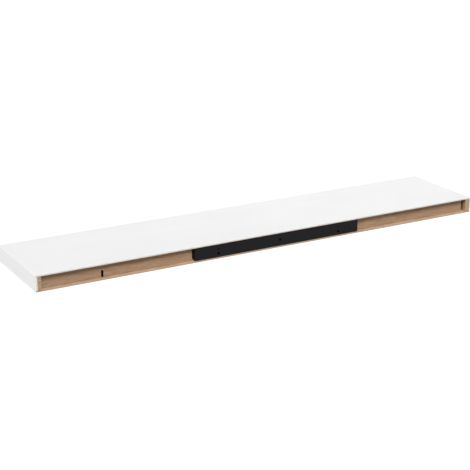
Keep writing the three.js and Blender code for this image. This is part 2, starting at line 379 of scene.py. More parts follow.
@dataclass(frozen=True)
class CrossSawnBatten(SawnBatten):
    """The same batten with its strands along Y, so that its rear face is the cut end.

    To the eye the end is short level dashes and dots, a little paler than the long faces.
    """

    title: str = "pressed_strand_batten_cut_end"
    tones: tuple[str, str] = ("C7AC93", "B8997E")
    drift: Grain = Grain((8, 60, 4), 0.38, 0.62)
    marks: Marks = (
        ("7F5F45", Grain((3.5, 22, 1.6), 0.56, 0.72), 0.65),
        ("CFB9A2", Grain((4, 30, 1.4), 0.58, 0.74), 0.5),
    )
    relief: Grain = Grain((2, 9, 0.8), detail=4.0)


@dataclass(frozen=True)
class HoleShadePaint(Finish):
    """Painted shade on the walls of the batten's slot and nail hole: a near black that stands in
    for the shade deep inside these narrow holes.

    To the eye it is a matt brown black, in level bands.
    """

    title: str = "batten_hole_wall_painted_shade"
    tones: tuple[str, str] = ("1D130D", "120C08")
    drift: Grain = Grain((3, 18, 3))
    relief: Grain = Grain((1.5, 6, 1.5))
    relief_height: float = 0.05
    roughness: tuple[float, float] = (0.85, 0.95)
    specular: float = 0.1


@dataclass(frozen=True)
class PowderCoat(Finish):
    """Black polyester powder, baked on folded steel.

    To the eye it is a deep, slightly blue black with a dull sheen and a fine even texture. The
    real grain is about 0.4 mm and is drawn at 1.2 mm, so that it shows.
    """

    title: str = "powder_coat_black_baked"
    tones: tuple[str, str] = ("141416", "101012")
    drift: Grain = Grain((45, 45, 12))
    marks: Marks = (("1C1C20", Grain((1.2, 1.2, 1.2), 0.55, 0.7), 0.6),)
    relief: Grain = Grain((1.2, 1.2, 1.2), detail=1.0)
    relief_height: float = 0.03
    roughness: tuple[float, float] = (0.5, 0.62)
    specular: float = 0.15


@dataclass(frozen=True)
class MouldedCap(Finish):
    """Black polyethylene, injection moulded in a spark-eroded tool.

    To the eye it is a plain black, softer in its shine than the powder coat.
    """

    title: str = "polyethylene_black_moulded"
    tones: tuple[str, str] = ("1C1C1E", "18181A")
    drift: Grain = Grain((6, 6, 6))
    relief: Grain = Grain((0.5, 0.5, 0.5), detail=1.0)
    relief_height: float = 0.01
    roughness: tuple[float, float] = (0.42, 0.52)
    ior: float = 1.51
    specular: float = 0.35


@dataclass(frozen=True)
class ZincSteel(Finish):
    """Steel screws, zinc plated in a barrel.

    To the eye it is a cool bright grey with faint cloudy patches from the bath.
    """

    title: str = "zinc_steel_barrel_plated"
    tones: tuple[str, str] = ("C6C9CD", "B2B6BB")
    drift: Grain = Grain((2.5, 2.5, 2.5))
    relief: Grain = Grain((0.4, 0.4, 0.4))
    relief_height: float = 0.004
    roughness: tuple[float, float] = (0.26, 0.38)
    metallic: float = 1.0


@dataclass(frozen=True)
class TurnedBrass(Finish):
    """Brass turned from bar.

    To the eye it is a warm yellow metal with fine rings left by the tool, drawn 0.25 mm apart.
    """

    title: str = "brass_turned"
    tones: tuple[str, str] = ("D3B36C", "C4A258")
    drift: Grain = Grain((3, 3, 3))
    relief: Grain = Grain((6, 6, 0.25))
    relief_height: float = 0.006
    roughness: tuple[float, float] = (0.24, 0.36)
    metallic: float = 1.0


@dataclass(frozen=True)
class KraftPaper(Finish):
    """Recycled kraft paper, glued and pulled out to a honeycomb.

    To the eye it is a matt brown with short pale and dark fibres.
    """

    title: str = "kraft_paper_expanded"
    tones: tuple[str, str] = ("B2966F", "A3875F")
    drift: Grain = Grain((18, 18, 18))
    marks: Marks = (("876C49", Grain((2.5, 2.5, 0.7), 0.56, 0.72), 0.5),)
    relief: Grain = Grain((1.2, 1.2, 0.6))
    relief_height: float = 0.03
    roughness: tuple[float, float] = (0.86, 0.96)
    specular: float = 0.2


@functools.cache
def material_of(finish: Finish) -> bpy.types.Material:
    """The one material of a finish, made when it is first asked for."""
    return finish.material()


# Shapes as whole arrays


@dataclass
class Shape:
    """A surface.

    Attributes:
        points: one row of X, Y and Z for each point, in metres.
        faces: each face as the numbers of its points.
    """

    points: Array
    faces: list[list[int]]


def joined(shapes: Sequence[Shape]) -> Shape:
    """Puts shapes together.

    Args:
        shapes: the shapes, in order.

    Returns:
        One shape that holds all their points and faces.
    """
    firsts = np.cumsum([0] + [len(shape.points) for shape in shapes])
    faces = [[corner + int(first) for corner in face]
             for shape, first in zip(shapes, firsts) for face in shape.faces]
    return Shape(np.vstack([shape.points for shape in shapes]), faces)


def set_across(outline: Array, place: float, axis: Axis) -> Array:
    """Sets a flat outline in the frame, across an axis.

    Args:
        outline: rows of the two coordinates across the axis.
        place: where it lies along the axis.
        axis: the axis.

    Returns:
        Rows of X, Y and Z.
    """
    rows = np.empty((len(outline), 3))
    rows[:, axis.across] = outline
    rows[:, axis.value] = place
    return rows


def carried(rings: Array, closed: bool = False) -> Shape:
    """The surface through a stack of rings of equally many points, open at its ends.

    Args:
        rings: rings, points, and X, Y and Z.
        closed: whether the last ring also joins the first.

    Returns:
        The points ring by ring, with a quad between each pair of neighbours in neighbouring rings.
    """
    count, around, _ = rings.shape
    ring = np.arange(count if closed else count - 1)[:, None]
    point = np.arange(around)[None, :]
    next_ring, next_point = (ring + 1) % count, (point + 1) % around
    corners = [(ring, point), (ring, next_point), (next_ring, next_point), (next_ring, point)]
    faces = np.stack([a * around + b for a, b in corners], axis=-1).reshape(-1, 4)
    return Shape(rings.reshape(-1, 3), faces.tolist())


def swept(rings: Sequence[Ring], axis: Axis) -> Shape:
    """The surface through outlines that lie across an axis, each at its place."""
    return carried(np.stack([set_across(outline, place, axis) for outline, place in rings]))


def filled(outlines: Sequence[Array], place: float, axis: Axis) -> Shape:
    """A flat face across an axis, with holes where more than one outline is given.

    Args:
        outlines: the outer outline, and then each hole's.
        place: where it lies along the axis.
        axis: the axis.

    Returns:
        One face, or triangles that fill the outer outline around its holes.
    """
    points = np.vstack([set_across(outline, place, axis) for outline in outlines])
    if len(outlines) == 1:
        return Shape(points, [list(range(len(points)))])
    flat = [np.column_stack([outline, np.zeros(len(outline))]).tolist() for outline in outlines]
    return Shape(points, [list(triangle) for triangle in tessellate_polygon(flat)])


def slab(sides: Sequence[Ring], axis: Axis, holes: Sequence[Sequence[Ring]] = ()) -> Shape:
    """A solid carried along an axis, with holes along the same axis.

    Args:
        sides: its outline at each place, from its low end to its high end.
        axis: the axis.
        holes: each hole's outlines in the same order. A hole that starts above the low end is
            blind and gets a floor. Every hole ends at the high end.

    Returns:
        The sides, the hole walls and floors, and the two ends.
    """
    through = [hole for hole in holes if math.isclose(hole[0][1], sides[0][1])]
    blind = [hole for hole in holes if not math.isclose(hole[0][1], sides[0][1])]
    walls = [swept(rings, axis) for rings in (sides, *holes)]
    low = filled([sides[0][0], *(hole[0][0] for hole in through)], sides[0][1], axis)
    high = filled([sides[-1][0], *(hole[-1][0] for hole in holes)], sides[-1][1], axis)
    floors = [filled([hole[0][0]], hole[0][1], axis) for hole in blind]
    return joined([*walls, low, high, *floors])


def eased(outline: Callable[[float], Array], ends: Sequence[float], radii: Sequence[float],
          steps: int = 4) -> list[Ring]:
    """An outline at its places along an axis, with rounded edges at both ends.

    At an angle t of an edge's quarter turn, with radius r, the outline is drawn in by
    r (1 - sin t) and lies r (1 - cos t) from the end.

    Args:
        outline: gives the outline, drawn in by a length.
        ends: its low and high end.
        radii: the edges' radii at the low and the high end, or 0 for a sharp edge.
        steps: the steps of a quarter turn.

    Returns:
        The outlines from the low end to the high end, each with its place.
    """
    edges = []
    for end, radius, inwards in zip(ends, radii, (1, -1)):
        turn = np.linspace(0, np.pi / 2, steps + 1) if radius else [np.pi / 2]
        edges.append([(outline(radius * (1 - np.sin(t))), end + inwards * radius * (1 - np.cos(t)))
                      for t in turn])
    return [*edges[0], *edges[1][::-1]]


def arc(centre: Sequence[float], radius: float, start: float, end: float, steps: int) -> Array:
    """An arc's points: cosine and sine of even angles in degrees, both ends among them."""
    angle = np.radians(np.linspace(start, end, steps + 1))
    return np.column_stack([centre[0] + radius * np.cos(angle), centre[1] + radius * np.sin(angle)])


def circle(centre: Sequence[float], radius: float, sides: int) -> Array:
    """A circle of that many points, the first at angle 0."""
    return arc(centre, radius, 0, 360, sides)[:-1]


def bored(centre: Sequence[float], radius: float, sides: int, ends: Sequence[float],
          rims: Sequence[float]) -> list[Ring]:
    """A round hole's outlines between its ends, with the rims' radii, or 0 for a sharp rim."""
    return eased(lambda inset: circle(centre, radius + inset, sides), ends, rims)


def round_cornered(low: Sequence[float], high: Sequence[float], radii: Sequence[float],
                   inset: float = 0.0, steps: int = 6) -> Array:
    """A rectangle with an arc at each corner, drawn in so that its arcs keep their middles.

    Args:
        low: its lowest corner.
        high: its highest corner.
        radii: the corners' radii, anticlockwise from the highest corner.
        inset: how far it is drawn in.
        steps: the steps of an arc.

    Returns:
        One row for each point, anticlockwise.
    """
    corners = [(high[0], high[1], -1, -1), (low[0], high[1], 1, -1),
               (low[0], low[1], 1, 1), (high[0], low[1], -1, 1)]
    return np.vstack([
        arc((x + aside * radius, y + up * radius), radius - inset, 90 * turn, 90 * turn + 90, steps)
        for turn, (radius, (x, y, aside, up)) in enumerate(zip(radii, corners))])


def turned(radius: Array, place: Array, centre: Sequence[float], axis: Axis, sides: int) -> Array:
    """Rings about a line along an axis, at radius times the cosine and sine of even angles.

    Args:
        radius: each ring's radius, as a column, or one radius for each ring and angle.
        place: each ring's place along the axis, or one for each ring and angle.
        centre: the line's two coordinates across the axis.
        axis: the line's direction.
        sides: the angles of a full turn.

    Returns:
        Rings, points, and X, Y and Z.
    """
    angle = np.linspace(0, 2 * np.pi, sides, endpoint=False)
    rings = np.empty((len(radius), sides, 3))
    rings[..., axis.across[0]] = centre[0] + radius * np.cos(angle)
    rings[..., axis.across[1]] = centre[1] + radius * np.sin(angle)
    rings[..., axis.value] = place
    return rings


# Pieces


def box_of(node: str) -> tuple[Array, Array]:
    """The lowest and highest corner of a solid, in metres."""
    low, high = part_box(node)
    return np.array(low), np.array(high)


def between_skins() -> tuple[float, float]:
    """The lower and upper end of what lies between the bottom and the top board."""
    return box_of("bottom_skin")[1][2], box_of("top_skin")[0][2]


def one_finish(centres: Array, normals: Array) -> Array:
    """The rule of a piece that has a single finish."""
    return np.zeros(len(centres), dtype=int)


@dataclass
class Piece:
    """What a new piece is called, what it rides on and what it stands for.

    Attributes:
        name: its name.
        body: the body that it moves with.
        slot: the record's material slot; not used.
        finishes: the finishes on it.
        rule: gives each face's finish number from the faces' middles and normals.
        stands_for: the solids that it replaces.
    """

    name: str
    body: Body
    slot: Slot
    finishes: Sequence[Finish]
    rule: Rule = one_finish
    stands_for: Sequence[str] = ()

    def made(self, shape: Shape) -> bpy.types.Object:
        """Makes the piece from its shape.

        Args:
            shape: the whole surface, closed once its doubled points are merged.

        Returns:
            The object, dressed and riding on its body.
        """
        mesh = bpy.data.meshes.new(self.name)
        mesh.from_pydata(shape.points.tolist(), [], shape.faces)
        work = bmesh.new()
        work.from_mesh(mesh)
        bmesh.ops.remove_doubles(work, verts=work.verts, dist=SAME_PLACE)
        bmesh.ops.recalc_face_normals(work, faces=work.faces)
        work.to_mesh(mesh)
        work.free()
        self.dress(mesh)
        piece = put_in_scene(self.name, mesh)
        piece.modifiers.new("flat_faces_shade_flat", "WEIGHTED_NORMAL").keep_sharp = True
        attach(piece, self.body.value)
        if self.stands_for:
            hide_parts(*self.stands_for)
        return piece

    def dress(self, mesh: bpy.types.Mesh) -> None:
        """Gives each face its finish, and smooths the shading across shallow edges.

        Args:
            mesh: the piece's mesh.
        """
        for finish in self.finishes:
            mesh.materials.append(material_of(finish))
        count = len(mesh.polygons)
        centres, normals = np.empty(count * 3), np.empty(count * 3)
        mesh.polygons.foreach_get("center", centres)
        mesh.polygons.foreach_get("normal", normals)
        numbers = self.rule(centres.reshape(-1, 3), normals.reshape(-1, 3))
        mesh.polygons.foreach_set("material_index", numbers.astype(np.int32))
        mesh.polygons.foreach_set("use_smooth", np.ones(count, dtype=bool))
        mesh.set_sharp_from_angle(angle=SHARP_ANGLE)


def dress_solid(node: str, finish: Finish) -> bpy.types.Object:
    """Gives a solid that stays as it is its finish.

    Args:
        node: the solid's name.
        finish: its finish.

    Returns:
        The solid's object.
    """
    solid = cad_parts[node]
    for slot in solid.material_slots:
        slot.material = material_of(finish)
    return solid


# The white boards around the frame


class BoardFace(IntEnum):
    """The numbers of a white board's finishes."""

    COATED, PRIMED, BARE, SAWN, DUSTED = range(5)


@dataclass
class WhiteBoards:
    """The five thin white boards, flush with each other.

    Attributes:
        arris: the radius of the outer edges.
        front_corner: the radius of the upright corners into the room.
        rear_corner: the radius of the upright corners on the wall.
        inner_corner: the radius of a board's hidden corners.
        access_room: how much wider than its locking screw an access hole is, all round.
        access_sides: the points round an access hole.
        access_ease: the radius of an access hole's rim.
        edge_room: how far in from the outside a face still counts as the outside.
        finishes: the boards' finishes, in the order of their numbers.
    """

    arris: float = 0.5 * MM
    front_corner: float = 2.5 * MM
    rear_corner: float = 0.5 * MM
    inner_corner: float = 0.01 * MM
    access_room: float = 1.2 * MM
    access_sides: int = 48
    access_ease: float = 0.4 * MM
    edge_room: float = 10 * MM
    finishes: Sequence[Finish] = (
        SatinLacquer(), PrimedEdge(), Fibreboard(), FibreboardEdge(), DustedEdge())

    def build(self) -> list[bpy.types.Object]:
        """Builds the five boards."""
        return [self.top(), self.bottom(), self.front(), *(self.end(side) for side in SIDES)]

    def plan(self, inset: float) -> Array:
        """The whole shelf's outline from above.

        Args:
            inset: how far it is drawn in.

        Returns:
            One row for each point.
        """
        low, high = box_of("top_skin")
        radii = (self.rear_corner,) * 2 + (self.front_corner,) * 2
        return round_cornered(low[:2], high[:2], radii, inset)

    def board(self, name: str, node: str, rings: Sequence[Ring], rule: Rule,
              holes: Sequence[Sequence[Ring]] = ()) -> bpy.types.Object:
        """Makes a board that stands for a solid, from its own and its holes' outlines up Z."""
        piece = Piece(name, Body.BOARD, Slot.LACQUER, self.finishes, rule, [node])
        return piece.made(slab(rings, Axis.Z, holes))

    def top(self) -> bpy.types.Object:
        """Builds the top board, dusted on its rear edge and bare inside.

        Returns:
            The board.
        """
        low, high = box_of("top_skin")
        rings = eased(self.plan, (low[2], high[2]), (0, self.arris))
        return self.board("top_board", "top_skin", rings, self.top_rule)

    def top_rule(self, centres: Array, normals: Array) -> Array:
        """Faces to the wall are the dusted edge, and faces down are bare."""
        return np.select([normals[:, 1] > FACING, normals[:, 2] < -FACING],
                         [BoardFace.DUSTED, BoardFace.BARE], BoardFace.COATED)

    def bottom(self) -> bpy.types.Object:
        """Builds the bottom board with its two access holes.

        Returns:
            The board.
        """
        low, high = box_of("bottom_skin")
        ends = low[2], high[2]
        rings = eased(self.plan, ends, (self.arris, 0))
        screws = [box_of(f"{side}_locking_screw") for side in SIDES]
        radius = (screws[0][1] - screws[0][0])[0] / 2 + self.access_room
        holes = [bored((first + last)[:2] / 2, radius, self.access_sides, ends,
                       (self.access_ease, 0)) for first, last in screws]
        return self.board("bottom_board", "bottom_skin", rings, self.bottom_rule, holes)

    def bottom_rule(self, centres: Array, normals: Array) -> Array:
        """Faces to the wall are the bare sawn edge, and faces up and in the holes are bare.

        Args:
            centres: the faces' middles.
            normals: their normals.

        Returns:
            Each face's finish number.
        """
        low, high = box_of("bottom_skin")
        inside = np.all((centres[:, :2] > low[:2] + self.edge_room)
                        & (centres[:, :2] < high[:2] - self.edge_room), axis=1)
        in_hole = inside & (np.abs(normals[:, 2]) < SQUARELY)
        return np.select([in_hole, normals[:, 1] > FACING, normals[:, 2] > FACING],
                         [BoardFace.BARE, BoardFace.SAWN, BoardFace.BARE], BoardFace.COATED)

    def front(self) -> bpy.types.Object:
        """Builds the front edge board.

        Returns:
            The board.
        """
        low, high = box_of("front_edge_band")
        end = box_of("left_edge_band")[0][0]
        outline = round_cornered((-end, low[1]), (end, high[1]), (self.inner_corner,) * 4, steps=1)
        rings = [(outline, place) for place in between_skins()]
        return self.board("front_band", "front_edge_band", rings, self.front_rule)

    def front_rule(self, centres: Array, normals: Array) -> Array:
        """Faces to the shelf's inside are bare."""
        return np.where(normals[:, 1] > FACING, BoardFace.BARE, BoardFace.COATED)

    def end(self, side: str) -> bpy.types.Object:
        """Builds one end's edge board.

        Args:
            side: left or right.

        Returns:
            The board, primed on its rear edge and bare inside.
        """
        low, high = box_of(f"{side}_edge_band")
        radii = (self.rear_corner, self.inner_corner, self.inner_corner, self.front_corner)
        if SIDES[side] == RIGHT:
            radii = (radii[1], radii[0], radii[3], radii[2])
        outline = round_cornered(low[:2], high[:2], radii)
        rings = [(outline, place) for place in between_skins()]

        def rule(centres: Array, normals: Array) -> Array:
            """Faces to the wall are the primed edge, and faces to the shelf's inside are bare."""
            inward = normals[:, 0] * SIDES[side] < -FACING
            return np.select([normals[:, 1] > FACING, inward],
                             [BoardFace.PRIMED, BoardFace.BARE], BoardFace.COATED)

        return self.board(f"{side}_band", f"{side}_edge_band", rings, rule)


# The bare frame inside


class BattenFace(IntEnum):
    """The numbers of a batten's finishes. OWN is the one that it has nearly all over."""

    # SCORCHED is painted shade, the near black on the walls of the slot and the nail hole
    OWN, SCORCHED, PRIMED, SIDE = range(4)


@dataclass
class BareFrame:
    """The battens between the white boards. Those that show from the rear get eased edges.

    Attributes:
        ease: the radius of a batten's edges round its rear and front face.
        corner: the radius of its edges along Y.
        corner_steps: the steps of such an edge.
        rim: the radius of the rim of a hole.
        coat_lap: how far the skins' coat reaches onto the left end batten.
        nail_radius: the nail hole's radius.
        nail_sides: the points round it.
        nail_depth: its depth.
        nail_inset: how far it lies from the batten's inner face.
        nail_rise: how far it lies above the middle.
        slot_inset: how far the slot's middle lies from the rear batten's outer end.
        slot_width: the slot's width.
        slot_height: how far it runs up from the lower edge.
        slot_foot: how much wood is left under it.
        slot_wall: how much a normal may lie along Y on a wall of the slot.
        round_steps: the steps of the slot's round end.
    """

    ease: float = 0.9 * MM
    corner: float = 1 * MM
    corner_steps: int = 3
    rim: float = 0.15 * MM
    coat_lap: float = 1.8 * MM
    nail_radius: float = 1 * MM
    nail_sides: int = 24
    nail_depth: float = 12 * MM
    nail_inset: float = 3.6 * MM
    nail_rise: float = 2 * MM
    slot_inset: float = 145.2 * MM
    slot_width: float = 5.4 * MM
    slot_height: float = 17.1 * MM
    slot_foot: float = 0.8 * MM
    slot_wall: float = 0.5
    round_steps: int = 12

    def build(self) -> list[bpy.types.Object]:
        """Builds the battens that show, and dresses the rest.

        Returns:
            The battens and the cores.
        """
        shown = [self.end(side) for side in SIDES] + [self.rear(side) for side in SIDES]
        along_x = ["front_rail", "bore_rail"]
        along_y = ["left_cross_rail", "right_cross_rail", "left_rod_socket", "right_rod_socket"]
        hidden = [dress_solid(node, SawnBatten()) for node in along_x]
        hidden += [dress_solid(node, CrossSawnBatten()) for node in along_y]
        cores = [dress_solid(f"{name}_core", KraftPaper()) for name in ("left", "centre", "right")]
        return shown + hidden + cores

    def batten(self, left: float, right: float, ends: Sequence[float]) -> list[Ring]:
        """The eased outlines of a batten between the skins, from its lower to its higher Y."""
        bottom, top = between_skins()
        return eased(lambda inset: round_cornered((left, bottom), (right, top), (self.corner,) * 4,
                                                  inset, self.corner_steps), ends, (self.ease,) * 2)

    def end(self, side: str) -> bpy.types.Object:
        """Builds one end batten, the left one with the nail hole in its rear face.

        Args:
            side: left or right.

        Returns:
            The batten.
        """
        low, high = box_of(f"{side}_end_rail")
        is_left = SIDES[side] == LEFT
        outer = box_of(f"{side}_edge_band")[0 if is_left else 1][0]
        inner = low[0] if is_left else high[0]
        left, right = sorted((outer, inner))
        rings = self.batten(left, right, (low[1], high[1]))
        # The rear face is cut all round at the coat's lap, so that its outer strip can be primed
        bottom, top = between_skins()
        lap, corner = self.coat_lap, self.corner - self.ease
        framed = round_cornered((left + lap, bottom + lap), (right - lap, top - lap), (corner,) * 4,
                                steps=self.corner_steps)
        rings.append((framed, high[1]))
        nail = (inner + self.nail_inset, self.nail_rise)
        holes = [bored(nail, self.nail_radius, self.nail_sides,
                       (high[1] - self.nail_depth, high[1]), (0, self.rim))] if is_left else []

        def rule(centres: Array, normals: Array) -> Array:
            """Gives the left batten's nail hole and primed edge, and both battens' inner sides.

            The nail hole's wall is painted near black as shade, the outer rear edge caught the
            skins' coat, and the inner side is sawn along the strands.

            Args:
                centres: the faces' middles.
                normals: their normals.

            Returns:
                Each face's finish number.
            """
            in_hole = (np.hypot(centres[:, 0] - nail[0], centres[:, 2] - nail[1])
                       < self.nail_radius + self.rim)
            outward = ((normals[:, 0] * SIDES[side] > LEANING)
                       | (np.abs(centres[:, 0] - outer) < self.coat_lap))
            outward &= centres[:, 1] > high[1] - self.ease
            inward = (normals[:, 0] * SIDES[side] < -SQUARELY) & ~in_hole
            # The nail hole's wall takes the painted shade
            return np.select([in_hole & is_left, outward & is_left, inward],
                             [BattenFace.SCORCHED, BattenFace.PRIMED, BattenFace.SIDE],
                             BattenFace.OWN)

        finishes = [CrossSawnBatten(), HoleShadePaint(), PrimedEdge(), SawnBatten()]
        piece = Piece(f"{side}_end_batten", Body.BOARD, Slot.BOARD, finishes, rule,
                      [f"{side}_end_rail"])
        return piece.made(slab(rings, Axis.Y, holes))

    def rear(self, side: str) -> bpy.types.Object:
        """Builds one rear batten, the left one with the slot up from its lower edge.

        Args:
            side: left or right.

        Returns:
            The batten.
        """
        low, high = box_of(f"{side}_rear_rail")
        ends = low[1], high[1]
        rings = self.batten(low[0], high[0], ends)
        is_left = SIDES[side] == LEFT
        holes = [eased(self.slot_outline, ends, (self.rim,) * 2)] if is_left else []
        # The slot's walls take the painted shade, a near black for the shade inside it
        piece = Piece(f"{side}_rear_batten", Body.BOARD, Slot.BOARD, [SawnBatten(), HoleShadePaint()],
                      self.rear_rule, [f"{side}_rear_rail"])
        return piece.made(slab(rings, Axis.Y, holes))

    def slot_middle(self) -> float:
        """The X of the slot's middle."""
        return box_of("left_rear_rail")[1][0] - self.slot_inset

    def slot_outline(self, spread: float) -> Array:
        """The slot's outline: a foot, two uprights and a half circle.

        Args:
            spread: how far it is let out.

        Returns:
            One row for each point.
        """
        middle, bottom, half = self.slot_middle(), between_skins()[0], self.slot_width / 2
        crown = bottom + self.slot_height - half
        notch = arc((middle, crown), half + spread, 0, 180, self.round_steps)
        foot = bottom + self.slot_foot - spread
        return np.vstack([notch, [(middle - half - spread, foot), (middle + half + spread, foot)]])

    def rear_rule(self, centres: Array, normals: Array) -> Array:
        """Faces round the slot get painted shade, a near black, and the rest are sawn.

        Args:
            centres: the faces' middles.
            normals: their normals.

        Returns:
            Each face's finish number.
        """
        near = np.abs(centres[:, 0] - self.slot_middle()) < self.slot_width
        wall = near & (np.abs(normals[:, 1]) < self.slot_wall)
        return np.where(wall, BattenFace.SCORCHED, BattenFace.OWN)


# The wall bracket


def powder_coated(name: str, shape: Shape, *solids: str) -> bpy.types.Object:
    """Makes a powder-coated steel piece of the bracket, which stands for the named solids."""
    return Piece(name, Body.BRACKET, Slot.POWDER, [PowderCoat()], stands_for=solids).made(shape)


@dataclass
class WallBracket:
    """The folded channel with its holes and end tabs, and the welded rods with their caps.

    Attributes:
        thickness: the sheet's thickness.
        inside_radius: the bends' inside radius.
        bend_steps: the steps of a bend.
        ease: the radius that the coat leaves on a cut edge.
        wall_hole: the wall screw holes' radius.
        level_hole: the small holes' radius.
        outer_reach: how far the outer holes lie from the middle one, half way between the rods.
        wall_drop: how far the outer wall holes lie below the middle.
        level_rise: how far the small holes lie above the middle.
        hole_sides: the points round a hole.
        tab_corner: the radius of an end tab's corners.
        tab_room: how far an end tab stays off the flanges and the web.
    """

    thickness: float = 2.5 * MM
    inside_radius: float = 1 * MM
    bend_steps: int = 8
    ease: float = 0.3 * MM
    wall_hole: float = 3.25 * MM
    level_hole: float = 2 * MM
    outer_reach: float = 164.5 * MM
    wall_drop: float = 6 * MM
    level_rise: float = 4.5 * MM
    hole_sides: int = 40
    tab_corner: float = 1.2 * MM
    tab_room: float = 0.15 * MM

    def build(self) -> list[bpy.types.Object]:
        """Builds the channel, its end tabs, and a rod, weld and cap on each side.

        Returns:
            The nine pieces.
        """
        tabs = [self.tab(side) for side in SIDES]
        rods = [Rod(side) for side in SIDES]
        return [self.channel(), *tabs, *(piece for rod in rods for piece in rod.build())]

    def section(self, inset: float) -> Array:
        """The channel's outline in Y and Z, drawn into the sheet on all sides.

        Args:
            inset: how far it is drawn in.

        Returns:
            The points from the lower flange's outer lip round the web to the upper flange and
            back along the inside, with arcs round the two bends.
        """
        low, high = box_of("bracket_channel")
        lip, rear, half = low[1] + inset, high[1], high[2]
        outside = self.inside_radius + self.thickness
        middle, bend = rear - outside, half - outside
        outer, inner, steps = outside - inset, self.inside_radius + inset, self.bend_steps
        inside = half - self.thickness + inset
        return np.vstack([
            [(lip, inset - half)],
            arc((middle, -bend), outer, -90, 0, steps),
            arc((middle, bend), outer, 0, 90, steps),
            [(lip, half - inset), (lip, inside)],
            arc((middle, bend), inner, 90, 0, steps),
            arc((middle, -bend), inner, 0, -90, steps),
            [(lip, -inside)],
        ])

    def holes(self) -> list[tuple[float, float, float]]:
        """Places the holes in the web.

        Returns:
            Each hole's X, Z and radius: the middle one, and then the two on each side.
        """
        middle = sum(Rod(side).line()[0][0] for side in SIDES) / 2
        places = [(middle, 0.0, self.wall_hole)]
        for x in (middle + self.outer_reach, middle - self.outer_reach):
            places += [(x, -self.wall_drop, self.wall_hole), (x, self.level_rise, self.level_hole)]
        return places

    def channel(self) -> bpy.types.Object:
        """Builds the channel: its section carried along X, and its web cut for the holes.

        Returns:
            The channel.
        """
        low, high = box_of("bracket_channel")
        rings = eased(self.section, (low[0], high[0]), (self.ease,) * 2)
        body = swept(rings, Axis.X)
        # The web's two flats start at the last points of the section's first and third arcs. Each
        # leaves the longest band of faces, to be filled again round the holes.
        around, long_band = len(rings[0][0]), len(rings) // 2 - 1
        web_rear, web_front = self.bend_steps + 1, 3 * self.bend_steps + 5
        gone = {long_band * around + web_rear, long_band * around + web_front}
        body.faces = [face for number, face in enumerate(body.faces) if number not in gone]
        bend = high[2] - self.inside_radius - self.thickness
        ends = low[0] + self.ease, high[0] - self.ease
        flat = np.array([(ends[0], -bend), (ends[1], -bend), (ends[1], bend), (ends[0], bend)])
        depth = (high[1] - self.thickness, high[1])
        holes = [bored((x, z), radius, self.hole_sides, depth, (self.ease,) * 2)
                 for x, z, radius in self.holes()]
        walls = [swept(hole, Axis.Y) for hole in holes]
        webs = [filled([flat, *(hole[end][0] for hole in holes)], depth[end], Axis.Y)
                for end in (0, -1)]
        caps = [filled([rings[end][0]], rings[end][1], Axis.X) for end in (0, -1)]
        shape = joined([body, *walls, *webs, *caps])
        return powder_coated("channel", shape, "bracket_channel")

    def tab(self, side: str) -> bpy.types.Object:
        """Builds the tab that closes one end of the channel, between its web and flanges.

        Args:
            side: left or right.

        Returns:
            The tab, a round-cornered plate carried along X with eased edges.
        """
        low, high = box_of("bracket_channel")
        inside = self.thickness + self.tab_room
        corners = (low[1] + self.ease, low[2] + inside), (high[1] - inside, high[2] - inside)
        ends = (high[0] - self.thickness, high[0] - self.ease / 2)
        if SIDES[side] == RIGHT:
            ends = (low[0] + self.ease / 2, low[0] + self.thickness)
        rings = eased(lambda inset: round_cornered(*corners, (self.tab_corner,) * 4, inset),
                      ends, (self.ease,) * 2)
        return powder_coated(f"{side}_end_tab", slab(rings, Axis.X))


